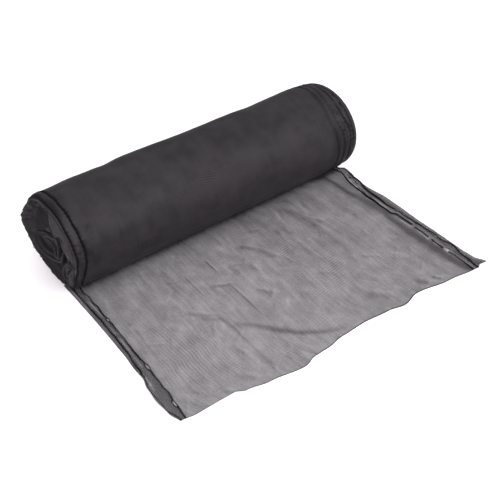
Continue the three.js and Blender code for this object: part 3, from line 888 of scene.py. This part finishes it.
    # stitches round the outer turn: their angles, how they wander and sink in, and the rings of its outside
    "sewn": {
        "angles": (-70, 251), "step": 0.6, "wander": 0.6, "bends": 6, "seed": 11, "sink": 0.9,
        "rings": slice(3, -3),
    },
}


# place on the roll at an angle from the front over the top
def onRoll(x, radius, angle):
    y = -radius * np.cos(angle)
    z = roll["axis"] + radius * np.sin(angle)
    return np.stack([x + 0 * y, y, np.maximum(z, 0)], -1)


# sum over a table's spots, each fading along the roll and round it
def nearSpots(spots, column, x, angle):
    total = 0
    for spot in eachRow(spots):
        turned = (np.degrees(angle) - spot["angle"] + 180) % 360 - 180
        near = ((x - spot["x"]) / spot["length"]) ** 2 + (turned / spot["spread"]) ** 2
        total += spot[column] * np.exp(-near)
    return total


def sway(x, angle):
    s = roll
    left = readTable(s["leftSway"], "angle", "out", np.degrees(angle) % 360)
    return np.where(x < 0, left, s["rightSway"] * np.cos(angle - math.radians(s["rightAngle"])))


def rowPlace(row, angle):
    return readTable(row["way"], "angle", "x", np.degrees(angle) % 360)


# rings between the rows of a table, on a rounded run through them
def profileOf(rings):
    s = roll
    out = {k: [] for k in rings}
    rows = list(eachRow(rings))
    rows = rows[:1] + rows + rows[-1:]
    for a, b, c, d in zip(rows, rows[1:], rows[2:], rows[3:]):
        length = math.hypot(c["x"] - b["x"], c["drop"] - b["drop"])
        fine = max(b["ridged"], c["ridged"]) > 0
        atEnd = max(abs(b["x"]), abs(c["x"])) > s["endFrom"]
        steps = max(2, math.ceil(length / s["ridgeStep" if fine else "endStep" if atEnd else "ringStep"]))
        t = np.arange(steps) / steps
        for k in rings:
            straight = b[k] + (c[k] - b[k]) * t
            out[k].append(rounded(a[k], b[k], c[k], d[k], t) if length < s["straightFrom"] else straight)
    return {k: np.concatenate(out[k] + [rings[k][-1:]])[:, None] for k in rings}


def seededSpecks():
    rows = []
    for look in roll["specks"]:
        dice = np.random.default_rng(look["seed"])
        for _ in range(look["count"]):
            half = dice.uniform(*look["half"])
            place = dice.uniform(*look["x"]), dice.uniform(*look["angles"])
            gather = look["gather"] * dice.choice(roll["speckShares"]) * dice.uniform(*roll["speckUneven"])
            rows.append((*place, half, math.degrees(half / roll["radius"]), gather))
    return table("x angle length spread gather", *rows)


# one kind of unevenness of the wound cloth, at places along the roll and angles round it
def woundUneven(kind, seed, along, turn):
    high, length, bends, waves, own = roll["uneven"][kind]
    across, up = bends * np.cos(turn), bends * np.sin(turn)
    return high * unevenness(seed + own, along / length, across, up, waves=waves)


# how deep the rows' grooves are in the outer turns, and how much painted shade darkens them
def rowGrooves(seed, x, turn, drop):
    s, pull = roll, roll["pull"]
    outside = ease((pull["drop"] - drop) / pull["fade"])
    # each stitch draws the cloth together a little between its holes
    stitches = turn * s["radius"] / stitching["kinds"]["close"]["pitch"]
    beads = 1 + pull["bead"] * np.cos(stitches * fullTurn)
    across, up = pull["bends"] * np.cos(turn), pull["bends"] * np.sin(turn)
    deep, gather = 0, 0
    for n, row in enumerate(s["rows"]):
        wobble = unevenness(seed + pull["seed"] + n, across, up)
        bead = beads + pull["uneven"] * wobble
        away = (x - rowPlace(row, turn) - pull["wander"] * wobble) / (row["half"] * bead)
        near = outside * np.exp(-away ** 2)
        deep += row["deep"] * near
        gather += row["gather"] * bead * near
    return deep, gather


# one wound part of the net, ring by ring
def windNet(name, rings, seed, pitch, depth, wander):
    s, rim, hemmed = roll, roll["crumpled"], roll["hemmed"]
    count = s["around"]
    p = profileOf(rings)
    angle = (np.arange(count + 1) / count * fullTurn)[None, :]
    turn = angle[:, :count]
    ragged = p.get("ragged", 0)
    x = p["x"] + p["lean"] * sway(p["x"], turn)
    x -= ragged * readTable(s["rim"], "angle", "out", np.degrees(turn))
    # the ragged rim is crumpled, most along its top
    atTop = rim["least"] + (1 - rim["least"]) * ease(0.5 + rim["top"] * np.sin(turn))
    crumple = ragged * atTop * woundUneven("crumple", seed, p["drop"], turn)
    x -= rim["out"] * crumple
    slack = crumple + woundUneven("slack", seed, p["x"], turn) + woundUneven("ripple", seed, p["x"], turn)
    atHem = np.exp(-((np.abs(p["x"]) - hemmed["at"]) / hemmed["half"]) ** 2)
    slack += atHem * woundUneven("pucker", seed, x, turn)
    radius = s["radius"] - p["drop"] - nearSpots(s["dents"], "depth", p["x"], turn) + slack
    deep, gather = rowGrooves(seed, x, turn, p["drop"])
    radius = np.maximum(radius - deep, s["smallest"])
    # painted shade and painted light at the listed spots and the specks
    for spots in (s["shadeSpots"], seededSpecks()):
        gather += nearSpots(spots, "gather", x, turn)

    # the edges of single turns: a ridge each, which wanders along the winding
    crest = s["crest"]
    turns = radius / pitch + turn / fullTurn
    unwound = turn - fullTurn * np.floor(turns)
    ridge = np.abs(np.sin(math.pi * turns)) ** crest["round"] * depth
    ridge += wander * unevenness(seed + crest["seed"], crest["bends"] * unwound)
    x += np.where(p["x"] < 0, -1, 1) * p["ridged"] * (ridge - depth)
    # the middle of an end is uneven, and the floor of the left hollow lies in its own shade
    hollow, middle = s["hollow"], s["middle"]
    gather += hollow["gather"] * (p["x"] < 0) * ease((p["drop"] - hollow["from"]) / hollow["run"])
    across, up = radius * np.cos(turn) / middle["length"], radius * np.sin(turn) / middle["length"]
    inside = ease((p["drop"] - middle["from"]) / middle["run"])
    x += middle["high"] * inside * unevenness(seed + middle["seed"], across, up)

    run = lengthAlong(np.concatenate([p["x"], p["drop"]], 1))[:, None]
    flat = tubeUv(run + 0 * angle, angle * s["radius"] + 0 * run, count)
    piece = addMesh(name, onRoll(x, radius, turn).reshape(-1, 3), tubeFaces(len(run), count), flat)
    for way in "XY":
        addNumbers(piece, "beat" + way, nearSpots(s["beats"], "share", p["x"], turn))
    addNumbers(piece, "gather", np.clip(gather, -1, 1))
    return piece


# rounded run through the rows of a table, resampled at an even step
def smoothRun(rows, between, step):
    points = np.stack(list(rows.values()), -1)
    padded = np.concatenate([points[:1], points, points[-1:]])
    t = np.linspace(0, 1, between, endpoint=False)[:, None]
    run = [rounded(a, b, c, d, t) for a, b, c, d in zip(padded, padded[1:], padded[2:], padded[3:])]
    run = np.concatenate(run + [points[-1:]])
    far = lengthAlong(run[:, :2])
    at = np.linspace(0, far[-1], int(far[-1] / step))
    return at, {c: np.interp(at, far, run[:, k]) for k, c in enumerate(rows)}


# strips of cloth that curl inwards in the left end, each a closed band with a rounded edge
def makeCurls():
    s = roll["curling"]
    parts, flats, gatherAndShadeParts = [], [], []
    for n, curl in enumerate(roll["curls"]):
        far, way = smoothRun(curl["way"], s["between"], s["step"])
        along = unit(np.stack([np.gradient(way["y"]), np.gradient(way["z"])], -1))
        for k, (apart, thickness, back) in enumerate(curl["layers"]):
            shift, out, lean = (high * unevenness(seed + k + s["seedStep"] * n, far / length)
                                for high, length, seed in s["wander"])
            rim = way["edge"] + back + out
            # from one face over the rounded edge to the other, as X and share of the thickness
            face = [(s["root"] + 0 * far, 0.5), (rim + s["shoulder"], 0.5)]
            face += [(rim + behind * thickness, share) for behind, share in s["rounding"]]
            section = face + [(x, -share) for x, share in face[::-1]]
            rows, shade = [], []
            for x, share in section:
                # the free edge leans out a little where the strip is slack
                away = apart + shift + share * thickness + lean * ease((s["root"] - x) / s["leanRun"])
                rows.append(np.stack([x, way["y"] + away * along[:, 1], way["z"] - away * along[:, 0]], -1))
                # painted shade of the strip, all over and more on its outer side in the gap beside it
                gap = (share > s["gapSide"]) * ease((x - rim) / s["gapRun"])
                shade.append(curl["ownShade"] + curl["dark"] * gap)
            grid = np.stack(rows, 1)
            around = np.concatenate([grid[..., 0], grid[:, :1, 0]], 1)
            parts.append((grid.reshape(-1, 3), tubeFaces(len(far), len(section))))
            flats.append(tubeUv(around, far[:, None] + 0 * around, len(section)))
            gatherAndShadeParts.append(np.stack(shade, 1).ravel())
    piece = addMesh("inner_turns", *joined(parts), np.concatenate(flats))
    addNumbers(piece, "gather", np.concatenate(gatherAndShadeParts))
    return piece


def makeFrays():
    s = roll["frays"]
    dice = np.random.default_rng(s["seed"])
    t = np.linspace(0, 1, s["points"])
    parts = []
    for _ in range(s["count"]):
        angle = math.radians(dice.uniform(*s["angles"]))
        span, rise, tilt = dice.uniform(*s["span"]), dice.uniform(*s["rise"]), dice.normal(0, s["tilt"])
        radius = roll["radius"] - dice.uniform(*s["inside"])
        x = s["x"] - readTable(roll["rim"], "angle", "out", math.degrees(angle))
        arch = rise * np.sin(math.pi * t)
        turn = angle + (t - 0.5) * span / radius
        path = onRoll(x - arch * math.cos(tilt), radius + arch * math.sin(tilt), turn)
        parts.append(strand(path, s["facing"], s["radius"], sides=s["sides"]))
    return addMesh("stray_yarn", *joined(parts))


# hem stitches of the outer turn, round the roll but for the flat spot under it
def makeRollStitches():
    s, sewn = roll, roll["sewn"]
    angle = np.radians(np.arange(*sewn["angles"], sewn["step"]))
    outward = np.stack([0 * angle, -np.cos(angle), np.sin(angle)], -1)
    outside = {c: values[sewn["rings"]] for c, values in s["outer"].items()}
    parts = []
    for n, row in enumerate(s["rows"]):
        if "stitch" not in row:
            continue
        x = rowPlace(row, angle) + sewn["wander"] * unevenness(sewn["seed"] + n, sewn["bends"] * angle)
        ringX = x - np.interp(x, outside["x"], outside["lean"]) * sway(x, angle)
        drop = np.interp(ringX, outside["x"], outside["drop"]) + sewn["sink"] * row["deep"]
        radius = s["radius"] - drop - nearSpots(s["dents"], "depth", ringX, angle)
        parts += chainStitch(onRoll(x, radius, angle), outward, row["stitch"])
    return addMesh("roll_stitches", *joined(parts))


# pitch of the edges of single turns, how deep they stand and how far they wander
wound = (
    {"name": "wound_net", "rings": roll["outer"], "seed": 50, "pitch": 3.2, "depth": 2.0, "wander": 0.9},
    {"name": "left_turns", "rings": roll["left"], "seed": 60, "pitch": 6.0, "depth": 2.0, "wander": 0.9},
    {"name": "right_turns", "rings": roll["right"], "seed": 70, "pitch": 5.0, "depth": 4.0, "wander": 1.6},
)
for settings in wound:
    piece = dress(windNet(**settings), woundMaterial, "netting_roll")
    print(settings["name"], "wound,", len(piece.data.polygons), "faces")
dress(makeCurls(), woundMaterial, "netting_roll")
dress(makeFrays(), threadMaterial, "netting_roll")
dress(makeRollStitches(), threadMaterial, "netting_roll")
print("roll done")


# Floor, light and camera, in metres but for the floor

studio = {
    "floor": "#f3eff3",
    "floorHalf": 8000,
    "floorHeight": -0.5,  # just under the net, so that the two never meet
    "sky": 1.0,
    "lights": (
        {"name": "key", "at": (0.85, -2.45, 2.1), "size": (3.0, 2.1), "power": 73},
        {"name": "fill", "at": (-2.6, -0.6, 2.2), "size": (2.4, 2.4), "power": 58},
        {"name": "top", "at": (0.5, -0.3, 2.6), "size": (1.2, 1.2), "power": 13},
    ),
    "lit": (0, -0.2, 0.1),
    "view": {
        "azimuth": -36.011, "elevation": 42.638, "distance": 2.597, "target": (-0.036, -0.312, 0.1),
        "lens": 65.95, "sensor": 36,
    },
}


def aim(thing, target):
    away = Vector(target) - thing.location
    thing.rotation_euler = away.to_track_quat("-Z", "Y").to_euler()


# Painted floor: plain matt white, so that the net's own shade is all that it shows.
def mattFloor(tree):
    return addNode(tree, "ShaderNodeBsdfPrincipled", {
        "Base Color": toLinear(studio["floor"]), "Roughness": 0.9, "Specular IOR Level": 0.1})


def makeStudio():
    s = studio
    half, height = s["floorHalf"], s["floorHeight"]
    corners = [(x * half, y * half, height) for x, y in ((-1, -1), (1, -1), (1, 1), (-1, 1))]
    floor = addMesh("floor", corners, [(0, 1, 2, 3)])
    floor.data.materials.append(newMaterial("matt_white_floor", mattFloor))

    world = bpy.data.worlds.new("studio")
    world.use_nodes = True
    background = world.node_tree.nodes["Background"]
    background.inputs["Color"].default_value = (1, 1, 1, 1)
    background.inputs["Strength"].default_value = s["sky"]
    bpy.context.scene.world = world

    for settings in s["lights"]:
        light = bpy.data.lights.new(settings["name"], "AREA")
        light.shape = "RECTANGLE"
        light.size, light.size_y = settings["size"]
        light.energy = settings["power"]
        lamp = bpy.data.objects.new(settings["name"], light)
        lamp.location = settings["at"]
        lamp.visible_camera = False
        aim(lamp, s["lit"])
        bpy.context.scene.collection.objects.link(lamp)

    v = s["view"]
    a, e = math.radians(v["azimuth"]), math.radians(v["elevation"])
    back = (math.sin(a) * math.cos(e), -math.cos(a) * math.cos(e), math.sin(e))
    camera = bpy.data.objects.new("camera", bpy.data.cameras.new("camera"))
    camera.data.sensor_width = v["sensor"]
    camera.data.lens = v["lens"]
    camera.location = [t + b * v["distance"] for t, b in zip(v["target"], back)]
    aim(camera, v["target"])
    bpy.context.scene.collection.objects.link(camera)
    bpy.context.scene.camera = camera
    bpy.context.scene.view_settings.view_transform = "Standard"


makeStudio()
print("studio set")
